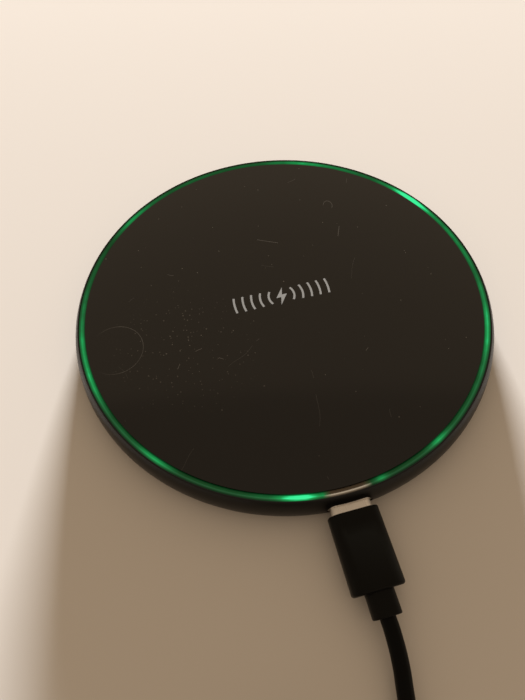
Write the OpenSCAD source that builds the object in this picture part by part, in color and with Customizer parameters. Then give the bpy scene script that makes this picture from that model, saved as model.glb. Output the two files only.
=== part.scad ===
// Round wireless charging pad with a light ring and a plug-in USB-C to USB-A cord.
// Millimetres, +Z up. Origin at the centre of the pad's footprint, port towards -Y.

/* [Housing] */
// Outer diameter of the pad at the widest point of its side wall
pad_d = 100; // [92:1:130]
// How far the rim's top edge lies inside the widest point
rim_inset = 1.55; // [1.2:0.05:2]
// Width of the black rim's top edge
rim_top_w = 0.25; // [0.2:0.05:0.6]
// Height at which the side wall is widest
belly_z = 2.9; // [2.6:0.1:3.4]
// How far the lower edge of the side wall lies inside the widest point
lower_inset = 1.1; // [0.8:0.1:1.5]
// Thickness of the bottom cover
cover_t = 1.2; // [1.1:0.1:2]
// How far the rubber ring stands out below the cover
foot_out = 0.4; // [0.2:0.1:1.5]
// Clear height inside, from the bottom cover to the top plate
bay_h = 4.4; // [4.3:0.1:8]
// Thickness of the top plate
plate_t = 1; // [0.8:0.1:2]
// How far the rim stands above the top plate
plate_sink = 0.1; // [0:0.05:0.4]

/* [Light ring] */
// Visible width of the light ring on top
ring_w = 1.35; // [1:0.05:3]
// Width of the shoulder that the top plate rests on
ring_shoulder = 0.85; // [0.5:0.05:1.2]
// Depth of the slope on the ring's upper inner edge
ring_slope = 0.35; // [0.1:0.05:0.6]
// Places of the lamps round the board, in degrees from the port
lamp_angles = [24, 66, 118, 156, 222, 276, 312, 348];

/* [Inside] */
// Thickness of the circuit board
board_t = 0.8; // [0.6:0.1:1.2]
// Gap under the circuit board
board_gap = 0.4; // [0.3:0.1:1]
// Outer diameter of the ferrite disc
ferrite_d = 52.6; // [40:0.2:58]
// Thickness of the ferrite disc
ferrite_t = 1.5; // [0.8:0.1:1.6]
// Diameter of the coil's litz wire
wire_d = 1.2; // [0.8:0.05:1.25]
// Number of turns in the coil
coil_turns = 12; // [8:1:12]
// Inner diameter of the coil
coil_id = 20.6; // [18:0.2:24]
// Thickness of the inner deck
deck_t = 0.75; // [0.6:0.05:1]
// Radius at which the four screws stand
screw_r = 36; // [33:0.5:40]
// Thread diameter of the cover screws
screw_d = 2; // [1.6:0.1:2.2]

/* [Port and plug] */
// Length of the plug's moulded body
plug_body_l = 14.05; // [11:0.05:22]
// Width of the plug's moulded body
plug_body_w = 10; // [9.4:0.1:13]
// Thickness of the plug's moulded body
plug_body_t = 5.7; // [4.4:0.1:6.2]
// How much of the plug's shell shows between pad and moulded body
plug_show = 1.15; // [0.6:0.05:2]
// Length of the neck behind the plug's moulded body
neck_l = 4.2; // [2:0.1:12]

/* [Cord] */
// Diameter of the cord
cord_d = 3; // [2.6:0.1:3.2]
// Length of the far plug's moulded body
usb_a_body_l = 21; // [16:0.5:30]

/* [Hidden] */
$fn = 96;
eps = 0.01;

// Clearances
fit_gap = 0.05;     // between pieces that drop into one another
loose_gap = 0.3;    // round pieces that only have to clear
side_gap = 0.15;    // between the deck and the light ring

// Heights
cover_z = foot_out;
floor_z = cover_z + cover_t;
board_z = floor_z + board_gap;
board_top = board_z + board_t;
plate_z = floor_z + bay_h;
plate_top = plate_z + plate_t;
rim_z = plate_top + plate_sink;
tape_t = 0.1;
deck_z = plate_z - tape_t - deck_t;
ferrite_tape_t = 0.15;
ferrite_z = board_top + ferrite_tape_t;
film_z = ferrite_z + ferrite_t;
film_t = 0.1;
coil_z = film_z + film_t;
lead_angle = -12;   // of the outer lead, from the inner lead
lead_reach = 4.4;   // from the ferrite's edge to a lead's soldered end
lead_drop_in = 0.3; // from the ferrite's edge inwards, to where the outer lead begins to drop

// Radii
pad_r = pad_d / 2;
rim_r = pad_r - rim_inset;
frame_bore_r = rim_r - rim_top_w;
ring_r = frame_bore_r - fit_gap / 2;
plate_r = ring_r - ring_w;
ring_in_r = plate_r - ring_shoulder;
ledge_t = 1;
ledge_r = ring_in_r + 0.2;
frame_wall = 4;
ring_lip = 0.35;
ledge_top = floor_z + ledge_t;
cover_r = ring_r - 1;
deck_r = ring_in_r - side_gap;
deck_in_r = ferrite_d / 2 + 0.9;
tape_inset = 0.5;
board_r = ring_in_r - 0.8;
support_w = 1.2;
support_out_r = board_r - 4.8;
support_in_r = 15.2;
post_d = 6;
boss_d = 5;
post_seat_t = 0.6;
post_top = board_z + post_seat_t;
screw_head_d = 3.8;
screw_head_t = 0.8;
screw_head_z = post_top - post_seat_t - screw_head_t;
screw_spare = 0.4;
screw_l = deck_z - screw_head_z - screw_head_t - screw_spare;
cross_l = 1.8;
cross_w = 0.4;
cross_depth = 0.45;
groove_w = 6;
groove_depth = 0.6;
screw_angles = [45, 135, 225, 315];

// USB-C port, its axis a little above the board that it is sunk into
port_rise = 0.8;
port_z = board_top + port_rise;
port_w = 8.94;
port_h = 3.16;
port_in_w = 8.34;
port_in_h = 2.56;
port_l = 7.3;
port_sink = 0.4;
port_face = pad_r - port_sink;
port_back = port_face - port_l;
tongue_w = 6.69;
tongue_core_t = 0.6;
contact_t = 0.05;
tongue_t = tongue_core_t + 2 * contact_t;
tongue_sink = 1;
pin_sink = 0.4;
tab_w = 0.9;
tab_l = 0.8;
tab_t = 0.2;
tab_places = [0.4, 1.7];
port_block_l = 1.5;
pin_count = 12;
pin_pitch = 0.5;
pin_w = 0.26;

// USB-C plug
plug_w = 8.25;
plug_h = 2.4;
plug_wall = 0.25;
plug_l = 6.65;
plug_front = pad_r + plug_show - plug_l;
plug_body_y = pad_r + plug_show;
plug_body_end = plug_body_y + plug_body_l;
plug_rooted = 3;
plug_slot_w = tongue_w + 0.21;
plug_pin_t = 0.08;
plug_slot_h = tongue_t + 2 * plug_pin_t + 0.1;
plug_slot_l = 5.2;
plug_recess = 0.1;
plug_pin_recess = 0.5;
plug_corner = 0.4;  // corner radius over thickness
neck_w = 5.4;
neck_t = 4.4;
neck_corner = 1.6;
exit_y = plug_body_end + neck_l;

// Parts on the board: length outwards, width round the board, height
control_chip_size = [5, 5, 0.9];
bridge_chip_size = [6, 5, 1];
resonant_size = [4.5, 3.2, 1.9];
input_size = [1.6, 3.2, 1.6];
sense_size = [3.2, 1.6, 0.6];
passive_size = [0.8, 1.6, 0.7];
lamp_size = [1, 3.2, 1.2];
thermistor_size = [1.6, 0.8, 0.8];
thermistor_y = -2.4;
chip_row_r = 34;
input_row_r = 40.8;
passive_row_r = 41.4;
lamp_inset = 0.3;
port_angle = -90;

// Cord: points from the neck's end to the round coil, and from the coil to the far plug
cord_r = cord_d / 2;
turn_gap = 0.05;
turn_pitch = cord_d + turn_gap;
tie_t = 0.8;
tie_w = 3.5;
tie_slack = 0.6;
coil_layers = 2;
coil_across = 4;
coil_mid_r = 18;
coil_x = -27;
coil_y = -41;
lead_points = [
  [0, 0, port_z], [0, -2, port_z], [-0.4, -7, 3.3], [-1.1, -11, 2.6], [-1.8, -15, 2], [-2.5, -19, 1.6],
  [-3.1, -23, 1.5], [-3.6, -28, 1.5], [-4, -33, 1.7], [-4.4, -37, 2.1], [-4.4, -41, 2.3]
];
tail_points = [
  [-4.4, -41, 5.35], [-4.4, -46, 5.3], [-4.4, -51, 5.1], [-4.4, -56, 4.2], [-4.5, -61, 2.8],
  [-4.7, -66, 1.7], [-5.2, -70, 1.5], [-6.6, -75, 1.5], [-10.2, -78.7, 1.5], [-15, -80, 1.6],
  [-19, -80, 2.2], [-22, -80, 3.2], [-25, -80, 3.8], [-27, -80, 3.8]
];

// USB-A plug, lying beside the coil with its mouth towards -X
usb_a_x = -27;
usb_a_y = -80;
usb_a_z = 3.8;
usb_a_neck_l = 5;
usb_a_neck_w = 7;
usb_a_neck_t = 4.6;
usb_a_body_w = 15.6;
usb_a_body_t = 7.6;
usb_a_w = 12;
usb_a_h = 4.5;
usb_a_wall = 0.3;
usb_a_l = 12;
usb_a_front = usb_a_neck_l + usb_a_body_l;
usb_a_in_w = usb_a_w - 2 * usb_a_wall;
usb_a_in_h = usb_a_h - 2 * usb_a_wall;
usb_a_rooted = 4;
usb_a_core_t = 1.9;
usb_a_core_recess = 0.5;
usb_a_pin_t = 0.1;
usb_a_pin_w = 1;
usb_a_pin_pitch = 2.3;
usb_a_pin_recess = 1.2;
usb_a_short_pin = 1;
usb_a_corner = 2;
usb_a_window = [2.2, 2.5];
usb_a_window_x = 5.1;
usb_a_window_y = 2.6;

// Colours
c_black = [0.06, 0.06, 0.065];
c_rim = [0.03, 0.03, 0.035];
c_steel = [0.78, 0.79, 0.8];
c_gold = [0.85, 0.68, 0.3];
c_copper = [0.72, 0.42, 0.2];
c_ceramic = [0.6, 0.5, 0.38];
c_glow = [0.1, 0.85, 0.45];

// Flat slot with round ends, centred
module slot2d(w, h) {
  square([w - h, h], center = true);
  for (s = [-1, 1]) translate([s * (w - h) / 2, 0]) circle(d = h);
}

// Rectangle with round corners, centred
module round_rect2d(w, h, r) {
  square([w - 2 * r, h], center = true);
  square([w, h - 2 * r], center = true);
  for (sx = [-1, 1], sy = [-1, 1])
    translate([sx * (w / 2 - r), sy * (h / 2 - r)]) circle(r = r);
}

// Extrudes an outline along -Y from distance y0 to y1 at height z
module along_port(y0, y1, z = port_z) {
  translate([0, -y0, z]) rotate([90, 0, 0]) linear_extrude(y1 - y0) children();
}

// Puts a piece at a radius and an angle, its X axis pointing outwards
module at(r, a) {
  rotate([0, 0, a]) translate([r, 0, 0]) children();
}

// Flat ring
module ring(r1, r2, z, h) {
  translate([0, 0, z]) difference() {
    cylinder(r = r2, h = h);
    translate([0, 0, -eps]) cylinder(r = r1, h = h + 2 * eps);
  }
}

// Box on the board, its length outwards
module chip(size) {
  translate([-size[0] / 2, -size[1] / 2, board_top]) cube(size);
}

// Room that the port needs in the pieces round it
module port_room(z0, z1, r0 = port_back - loose_gap) {
  w = port_w + 2 * loose_gap;
  translate([-w / 2, -pad_r - 1, z0]) cube([w, pad_r + 1 - r0, z1 - z0]);
}

// Notch that lets the coil's outer lead down past the deck
module lead_room() {
  w = wire_d + 0.6;
  rotate([0, 0, lead_angle]) translate([deck_in_r - 1, -w / 2, deck_z - 1]) cube([4, w, 3]);
}

module base_cover() color(c_black) difference() {
  union() {
    translate([0, 0, cover_z]) cylinder(r = cover_r, h = cover_t);
    for (a = screw_angles) at(screw_r, a)
      translate([0, 0, cover_z]) cylinder(d = post_d, h = post_top - cover_z);
    for (r = [support_in_r, support_out_r]) ring(r - support_w, r, floor_z - eps, board_gap + eps);
  }
  ring(screw_r - groove_w / 2, screw_r + groove_w / 2, cover_z - eps, groove_depth + eps);
  for (a = screw_angles) at(screw_r, a) {
    translate([0, 0, cover_z])
      cylinder(d = screw_head_d + loose_gap, h = screw_head_z + screw_head_t - cover_z);
    translate([0, 0, cover_z]) cylinder(d = screw_d + loose_gap, h = post_top);
  }
  port_room(floor_z, port_z);
}

module anti_slip_ring() color([0.1, 0.1, 0.1])
  ring(screw_r - groove_w / 2 + fit_gap, screw_r + groove_w / 2 - fit_gap, 0, foot_out + groove_depth);

module cover_screws() color(c_steel) for (a = screw_angles) at(screw_r, a) difference() {
  union() {
    translate([0, 0, screw_head_z]) cylinder(d = screw_head_d, h = screw_head_t);
    translate([0, 0, screw_head_z + screw_head_t]) cylinder(d = screw_d, h = screw_l);
  }
  for (t = [0, 90]) rotate([0, 0, t])
    translate([-cross_l / 2, -cross_w / 2, screw_head_z - eps]) cube([cross_l, cross_w, cross_depth]);
}

module side_frame() {
  up_h = rim_z - belly_z;
  up_r = (rim_inset * rim_inset + up_h * up_h) / (2 * rim_inset);
  low_h = belly_z - cover_z;
  low_r = (lower_inset * lower_inset + low_h * low_h) / (2 * lower_inset);
  color(c_rim) difference() {
    rotate_extrude($fn = 192) union() {
      intersection() {
        translate([pad_r - frame_wall, belly_z]) square([frame_wall + 1, up_h]);
        translate([pad_r - up_r, belly_z]) circle(r = up_r);
      }
      intersection() {
        translate([pad_r - frame_wall, cover_z]) square([frame_wall + 1, low_h]);
        translate([pad_r - low_r, belly_z]) circle(r = low_r);
      }
    }
    translate([0, 0, ledge_top]) cylinder(r = frame_bore_r, h = rim_z);
    cylinder(r = ledge_r, h = rim_z);
    translate([0, 0, -eps]) cylinder(r = cover_r + fit_gap, h = floor_z + eps);
    along_port(port_back, pad_r + 1) slot2d(port_w + loose_gap, port_h + loose_gap);
  }
}

module light_ring() color(c_glow) difference() {
  rotate_extrude($fn = 192) polygon([
    [ring_in_r, ledge_top], [ring_r, ledge_top], [ring_r, plate_top],
    [ring_r - ring_lip, plate_top], [plate_r + fit_gap, plate_top - ring_slope],
    [plate_r + fit_gap, plate_z], [ring_in_r, plate_z]
  ]);
  port_room(ledge_top - 1, port_z + port_h / 2 + loose_gap / 2);
}

module deck() color([0.12, 0.12, 0.13]) difference() {
  union() {
    ring(deck_in_r, deck_r, deck_z, deck_t);
    for (a = screw_angles) at(screw_r, a)
      translate([0, 0, post_top]) cylinder(d = boss_d, h = deck_z - post_top + eps);
  }
  for (a = screw_angles) at(screw_r, a)
    translate([0, 0, post_top - eps]) cylinder(d = screw_d + fit_gap, h = deck_z - post_top);
  port_room(deck_z - 1, plate_z);
  lead_room();
}

module plate_tape() color([0.7, 0.72, 0.7]) difference() {
  ring(deck_in_r + tape_inset, deck_r - tape_inset, deck_z + deck_t, tape_t);
  port_room(deck_z, plate_z + 1);
  lead_room();
}

module top_plate() color([0.08, 0.075, 0.075]) translate([0, 0, plate_z])
  cylinder(r = plate_r, h = plate_t, $fn = 192);

module main_board() color([0.02, 0.2, 0.1]) difference() {
  translate([0, 0, board_z]) cylinder(r = board_r, h = board_t);
  for (a = screw_angles) at(screw_r, a)
    translate([0, 0, board_z - eps]) cylinder(d = post_d + loose_gap * 2, h = board_t + 1);
  port_room(board_z - 1, board_top + 1, port_back - 0.1);
}

module ferrite_slot(z) {
  slot_w = wire_d + 0.2;
  translate([0, -slot_w / 2, z - 1]) cube([ferrite_d, slot_w, 4]);
}

module ferrite_tape() color([0.85, 0.85, 0.8])
  translate([0, 0, board_top]) cylinder(d = ferrite_d - 1, h = ferrite_tape_t);

module ferrite() color([0.2, 0.2, 0.21]) difference() {
  translate([0, 0, ferrite_z]) cylinder(d = ferrite_d, h = ferrite_t);
  ferrite_slot(ferrite_z);
}

module coil_film() color([0.8, 0.8, 0.7]) difference() {
  ring(coil_id / 2, coil_id / 2 + coil_turns * wire_d, film_z, film_t);
  ferrite_slot(film_z);
}

// One closed body of touching turns, joined by a web at mid height
module charging_coil() {
  first_r = coil_id / 2 + wire_d / 2;
  color(c_copper) rotate_extrude() union() {
    for (i = [0 : coil_turns - 1])
      translate([first_r + i * wire_d, coil_z + wire_d / 2]) circle(d = wire_d, $fn = 24);
    translate([first_r, coil_z + wire_d / 4]) square([(coil_turns - 1) * wire_d, wire_d / 2]);
  }
}

// The inner end drops into the ferrite's slot, the outer end drops off the ferrite's edge
module coil_leads() color(c_copper) {
  wire_r = wire_d / 2;
  coil_r = coil_id / 2 + coil_turns * wire_d;
  edge = ferrite_d / 2 + wire_r + fit_gap;
  turn_z = coil_z + wire_r;
  slot_z = ferrite_z + wire_r + fit_gap;
  pad_z = board_top + wire_r;
  in_r = coil_id / 2;
  tube([
    [in_r - wire_r, 3 * wire_r, turn_z], [in_r - wire_r, wire_r, turn_z],
    [in_r - 0.97 * wire_r, 0, turn_z - 0.25 * wire_r], [in_r - 0.83 * wire_r, 0, turn_z - 0.83 * wire_r],
    [in_r - wire_r / 3, 0, turn_z - 1.6 * wire_r], [in_r + wire_r, 0, turn_z - 2.2 * wire_r],
    [in_r + 3.7 * wire_r, 0, slot_z], [edge + 2, 0, slot_z], [edge + lead_reach, 0, pad_z]
  ], wire_r);
  rotate([0, 0, lead_angle]) tube([
    [coil_r + wire_r + 0.01, -1.6, turn_z], [coil_r + wire_r + 0.1, -0.8, turn_z],
    [ferrite_d / 2 - lead_drop_in, 0, turn_z], [edge + 0.3, 0, turn_z - 0.3],
    [edge + 1.6, 0, pad_z + 0.8], [edge + 2.6, 0, pad_z + 0.1], [edge + lead_reach, 0, pad_z]
  ], wire_r);
}

module thermistor() color([0.15, 0.15, 0.5])
  translate([-thermistor_size[0] / 2, thermistor_y, film_z]) cube(thermistor_size);

module control_chip() color(c_rim) at(chip_row_r, port_angle) chip(control_chip_size);

module bridge_chips() color(c_rim)
  for (s = [-1, 1]) at(chip_row_r, port_angle + s * 22) chip(bridge_chip_size);

module resonant_capacitors() color(c_ceramic)
  for (i = [0 : 3]) at(chip_row_r, -30 + 8 * i) chip(resonant_size);

module input_capacitors() color(c_ceramic)
  for (s = [-1, 1]) at(input_row_r, port_angle + s * 12) chip(input_size);

module sense_resistor() color(c_rim) at(chip_row_r, port_angle - 32.5) chip(sense_size);

module small_passives() color(c_ceramic)
  for (i = [0 : 7], s = [-1, 1]) at(passive_row_r, port_angle + s * (22 + 3.5 * i)) chip(passive_size);

module status_leds() color([0.9, 0.9, 0.85])
  for (a = lamp_angles) at(board_r - lamp_inset, port_angle + a) chip(lamp_size);

module port_shell() color(c_steel) union() {
  along_port(port_back, port_face) difference() {
    slot2d(port_w, port_h);
    slot2d(port_in_w, port_in_h);
  }
  for (s = [-1, 1], y = tab_places)
    translate([s * (port_w / 2 + tab_t) - tab_w / 2, -port_back - y - tab_l, board_top])
      cube([tab_w, tab_l, tab_t]);
}

module port_tongue() color(c_rim) union() {
  along_port(port_back, port_back + port_block_l) slot2d(port_in_w, port_in_h);
  along_port(port_back + port_block_l - eps, port_face - tongue_sink)
    square([tongue_w, tongue_core_t], center = true);
}

// Row of contact strips, above and below the port's axis
module pins(y0, y1, gap, t) {
  for (i = [0 : pin_count - 1], s = [-1, 1])
    translate([(i - (pin_count - 1) / 2) * pin_pitch - pin_w / 2, -y1, port_z + s * (gap + t / 2) - t / 2])
      cube([pin_w, y1 - y0, t]);
}

module port_contacts() color(c_gold)
  pins(port_back + port_block_l, port_face - tongue_sink - pin_sink, tongue_core_t / 2, contact_t);

module plug_shell() color(c_steel) along_port(plug_front, plug_body_y + plug_rooted) difference() {
  slot2d(plug_w, plug_h);
  slot2d(plug_w - 2 * plug_wall, plug_h - 2 * plug_wall);
}

module plug_insulator() color(c_rim) difference() {
  along_port(plug_front + plug_recess, plug_body_y + plug_rooted)
    slot2d(plug_w - 2 * plug_wall, plug_h - 2 * plug_wall);
  along_port(plug_front, plug_front + plug_slot_l) square([plug_slot_w, plug_slot_h], center = true);
}

module plug_contacts() color(c_gold)
  pins(plug_front + plug_pin_recess, plug_front + plug_slot_l, plug_slot_h / 2 - plug_pin_t, plug_pin_t);

module plug_overmold() color(c_black) difference() {
  along_port(plug_body_y, plug_body_end) round_rect2d(plug_body_w, plug_body_t, plug_body_t * plug_corner);
  along_port(plug_body_y - eps, plug_body_y + plug_rooted) slot2d(plug_w, plug_h);
}

module plug_strain_relief() color(c_black)
  along_port(plug_body_end, exit_y) round_rect2d(neck_w, neck_t, neck_corner);

// Tube of radius r through points, with flat ends
function unit(v) = v / norm(v);
function tangent(p, i) = unit(p[min(i + 1, len(p) - 1)] - p[max(i - 1, 0)]);
function tube_ring(c, t, r, n) =
  let (side = unit(cross(t, [0, 0, 1])), up = cross(side, t))
  [for (k = [0 : n - 1]) c + r * (cos(360 * k / n) * side + sin(360 * k / n) * up)];

module tube(p, r, n = 8) {
  m = len(p);
  rings = [for (i = [0 : m - 1]) each tube_ring(p[i], tangent(p, i), r, n)];
  sides = [for (i = [0 : m - 2], k = [0 : n - 1])
    [i * n + k, (i + 1) * n + k, (i + 1) * n + (k + 1) % n, i * n + (k + 1) % n]];
  ends = [[for (k = [0 : n - 1]) k], [for (k = [n - 1 : -1 : 0]) (m - 1) * n + k]];
  polyhedron(rings, concat(sides, ends));
}

module at_exit() {
  translate([0, -exit_y, 0]) children();
}

module cord_lead() color(c_black) at_exit() tube(lead_points, cord_r);

module cord_tail() color(c_black) at_exit() tube(tail_points, cord_r);

module cord_coil() color(c_black) at_exit() translate([coil_x, coil_y, tie_t])
  rotate_extrude() translate([coil_mid_r - turn_pitch * coil_across / 2, 0])
    square([turn_pitch * coil_across, turn_pitch * coil_layers]);

module cord_ties() {
  w = turn_pitch * coil_across + tie_slack;
  h = turn_pitch * coil_layers;
  color(c_rim) at_exit() translate([coil_x, coil_y, 0]) for (a = [90, 270]) at(coil_mid_r, a)
    translate([0, tie_w / 2, tie_t + h / 2]) rotate([90, 0, 0]) linear_extrude(tie_w) difference() {
      square([w + 2 * tie_t, h + 2 * tie_t], center = true);
      square([w, h], center = true);
    }
}

// Extrudes an outline along -X from distance x0 to x1 beyond the far plug's neck
module along_usb_a(x0, x1) {
  at_exit() translate([usb_a_x - x0, usb_a_y, usb_a_z])
    rotate([90, 0, -90]) linear_extrude(x1 - x0) children();
}

module usb_a_strain_relief() color(c_black)
  along_usb_a(0, usb_a_neck_l) round_rect2d(usb_a_neck_w, usb_a_neck_t, neck_corner);

module usb_a_overmold() color(c_black) difference() {
  along_usb_a(usb_a_neck_l, usb_a_front) round_rect2d(usb_a_body_w, usb_a_body_t, usb_a_corner);
  along_usb_a(usb_a_front - usb_a_rooted, usb_a_front + eps) square([usb_a_w, usb_a_h], center = true);
}

module usb_a_shell() color(c_steel) difference() {
  along_usb_a(usb_a_front - usb_a_rooted, usb_a_front + usb_a_l) difference() {
    square([usb_a_w, usb_a_h], center = true);
    square([usb_a_in_w, usb_a_in_h], center = true);
  }
  for (s = [-1, 1])
    at_exit() translate([usb_a_x - usb_a_front - usb_a_window_x - usb_a_window[0],
                         usb_a_y + s * usb_a_window_y - usb_a_window[1] / 2, 0])
      cube([usb_a_window[0], usb_a_window[1], 2 * usb_a_z]);
}

module usb_a_insulator() color([0.9, 0.9, 0.88]) union() {
  along_usb_a(usb_a_front - usb_a_rooted, usb_a_front) square([usb_a_in_w, usb_a_in_h], center = true);
  along_usb_a(usb_a_front - eps, usb_a_front + usb_a_l - usb_a_core_recess)
    translate([0, usb_a_in_h / 2 - usb_a_core_t / 2]) square([usb_a_in_w, usb_a_core_t], center = true);
}

// The two middle contacts are shorter
module usb_a_contacts() color(c_gold) for (i = [0 : 3])
  along_usb_a(usb_a_front, usb_a_front + usb_a_l - usb_a_pin_recess - (i % 3 == 0 ? 0 : usb_a_short_pin))
    translate([(i - 1.5) * usb_a_pin_pitch, usb_a_in_h / 2 - usb_a_core_t - usb_a_pin_t / 2])
      square([usb_a_pin_w, usb_a_pin_t], center = true);

base_cover();
anti_slip_ring();
cover_screws();
side_frame();
light_ring();
deck();
plate_tape();
top_plate();
main_board();
ferrite_tape();
ferrite();
coil_film();
charging_coil();
coil_leads();
thermistor();
control_chip();
bridge_chips();
resonant_capacitors();
input_capacitors();
sense_resistor();
small_passives();
status_leds();
port_shell();
port_tongue();
port_contacts();
plug_shell();
plug_insulator();
plug_contacts();
plug_overmold();
plug_strain_relief();
cord_lead();
cord_coil();
cord_tail();
cord_ties();
usb_a_strain_relief();
usb_a_overmold();
usb_a_shell();
usb_a_insulator();
usb_a_contacts();
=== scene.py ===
from math import atan2, cos, pi, radians, sin

import bmesh
import bpy
from mathutils import Matrix, Vector


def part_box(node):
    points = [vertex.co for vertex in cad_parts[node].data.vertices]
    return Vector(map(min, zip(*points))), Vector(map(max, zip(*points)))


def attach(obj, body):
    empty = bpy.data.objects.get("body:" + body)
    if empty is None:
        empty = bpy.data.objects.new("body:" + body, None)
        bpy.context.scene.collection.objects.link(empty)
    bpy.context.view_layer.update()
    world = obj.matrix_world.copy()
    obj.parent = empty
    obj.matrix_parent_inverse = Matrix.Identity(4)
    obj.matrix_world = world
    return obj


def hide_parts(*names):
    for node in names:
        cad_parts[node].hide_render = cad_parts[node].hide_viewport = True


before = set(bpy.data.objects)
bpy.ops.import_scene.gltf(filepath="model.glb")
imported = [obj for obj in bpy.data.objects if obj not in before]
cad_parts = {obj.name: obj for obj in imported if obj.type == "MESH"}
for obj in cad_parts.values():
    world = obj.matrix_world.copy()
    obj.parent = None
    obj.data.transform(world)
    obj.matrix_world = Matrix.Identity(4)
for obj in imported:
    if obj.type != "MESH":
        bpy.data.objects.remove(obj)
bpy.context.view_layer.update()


# ---- Camera -------------------------------------------------------------------------------------
# Held close over the pad's near edge and a little left of the port, looking down across it.
MM = 0.001
camera_place = Vector((-18.6, -66.3, 100.1)) * MM
camera_heading = radians(-11.2)
camera_tilt = radians(30.1)
camera_roll = radians(-3.65)


def keep(name, data):
    """An object for this mesh, curve, lamp or camera, in the scene."""
    piece = bpy.data.objects.new(name, data)
    bpy.context.scene.collection.objects.link(piece)
    return piece


camera = keep("camera", bpy.data.cameras.new("camera"))
camera.data.sensor_width = 36
camera.data.lens = 24.7
camera.data.clip_start = 5 * MM
camera.matrix_world = (
    Matrix.Translation(camera_place)
    @ Matrix.Rotation(camera_heading, 4, "Z")
    @ Matrix.Rotation(camera_tilt, 4, "X")
    @ Matrix.Rotation(camera_roll, 4, "Z")
)
bpy.context.scene.camera = camera
bpy.context.scene.view_settings.view_transform = "Standard"


# ---- Floor and light ----------------------------------------------------------------------------
# A plain pale table top in a dim warm room. A low soft window beyond the pad skims the table, so
# that the pad shades the table before it, and a warm ceiling panel mirrors in the plate's far half.
floor_half = 1.5
floor_colour = (0.80, 0.75, 0.69)
room_colour = (1.0, 0.77, 0.55)
room_strength = 0.36
window_colour = (0.97, 0.98, 1.0)
panel_colour = (1.0, 0.78, 0.52)


def material(name, colour, roughness, metallic=0.0, **constants):
    """A Principled material, its constants set on the shader's own sockets."""
    finish = bpy.data.materials.new(name)
    finish.use_nodes = True
    shader = finish.node_tree.nodes["Principled BSDF"]
    shader.inputs["Base Color"].default_value = (*colour, 1)
    shader.inputs["Roughness"].default_value = roughness
    shader.inputs["Metallic"].default_value = metallic
    for socket, value in constants.items():
        shader.inputs[socket.replace("_", " ")].default_value = value
    return finish


def soft_box(name, facing, width, depth, watts, colour, mirrored=True):
    """A rectangular soft light, placed and turned by a matrix, shining along its own -Z. Glossy
    surfaces may mirror it."""
    lamp = bpy.data.lights.new(name, "AREA")
    lamp.shape, lamp.size, lamp.size_y = "RECTANGLE", width, depth
    lamp.energy, lamp.color = watts, colour
    box = keep(name, lamp)
    box.matrix_world = facing
    box.visible_camera = False
    box.visible_glossy = mirrored


floor_mesh = bpy.data.meshes.new("table_top")
floor_corners = [(-1, -1), (1, -1), (1, 1), (-1, 1)]
floor_mesh.from_pydata([(x * floor_half, y * floor_half, 0) for x, y in floor_corners], [], [(0, 1, 2, 3)])
floor_mesh.materials.append(material("pale_table", floor_colour, 0.8, Specular_IOR_Level=0))
floor = keep("table_top", floor_mesh)

window_place = Vector((0.60, 2.57, 0.235))
window_turn = (-window_place).to_track_quat("-Z", "Y").to_matrix().to_4x4()
soft_box("low_window", Matrix.Translation(window_place) @ window_turn, 0.55, 0.2, 520, window_colour,
         mirrored=False)
panel_depth = 1.25
panel_bands = [(2.0, 0.85), (1.2, 0.95), (0.7, 0.85)]
panel_edge = Vector((0.12, 0.30, 0.9))
panel_turn = Matrix.Rotation(radians(-12.9), 4, "Z")
panel_place = Matrix.Translation(panel_edge) @ panel_turn @ Matrix.Translation((0, panel_depth / 2, 0))
for width, watts in panel_bands:
    soft_box("ceiling_panel", panel_place, width, panel_depth, watts, panel_colour)

room = bpy.data.worlds.new("room")
room.use_nodes = True
room.node_tree.nodes["Background"].inputs["Color"].default_value = (*room_colour, 1)
room.node_tree.nodes["Background"].inputs["Strength"].default_value = room_strength
bpy.context.scene.world = room


# ---- Cord ---------------------------------------------------------------------------------------
# A round cord, 3 mm across, with a smooth soft PVC sheath. It leaves the plug's neck, lies on the
# table, and its spare length is wound in two layers of four turns before it goes to the far plug.
port_z = 3.6 * MM
exit_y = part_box("plug_strain_relief")[0][1]
cord_d = 3 * MM
turn_pitch = 3.05 * MM
turns_across, turn_layers = 4, 2
coil_mid_r = 18 * MM
coil_centre = Vector((-27 * MM, exit_y - 41 * MM, 0))
low_turn_z = 2.3 * MM
turn_steps = 24
move_over = (radians(160), radians(260))
climb = (radians(260), radians(360))
sheath_colour = (0.0016, 0.0016, 0.0012)
lead_route = [
    (0, 0, 3.6), (0, -2, 3.6), (-0.4, -7, 3.3), (-1.1, -11, 2.6), (-1.8, -15, 2), (-2.5, -19, 1.6),
    (-3.1, -23, 1.5), (-3.6, -28, 1.5), (-4, -33, 1.7), (-4.4, -37, 2.1),
]
tail_route = [
    (-4.4, -46, 5.3), (-4.4, -51, 5.1), (-4.4, -56, 4.2), (-4.5, -61, 2.8),
    (-4.7, -66, 1.7), (-5.2, -70, 1.5), (-6.6, -75, 1.5), (-10.2, -78.7, 1.5), (-15, -80, 1.6),
    (-19, -80, 2.2), (-22, -80, 3.2), (-25, -80, 3.8), (-27, -80, 3.8),
]


def add(tree, kind, feeds=None, **settings):
    """A shader node, its inputs fed by name or number with values or with other nodes' outputs."""
    node = tree.nodes.new("ShaderNode" + kind)
    for name, value in settings.items():
        setattr(node, name, value)
    for key, feed in (feeds or {}).items():
        if isinstance(feed, bpy.types.NodeSocket):
            tree.links.new(feed, node.inputs[key])
        else:
            node.inputs[key].default_value = feed
    return node


def calc(tree, operation, *values):
    """The output of a Math node."""
    return add(tree, "Math", dict(enumerate(values)), operation=operation).outputs[0]


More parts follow.
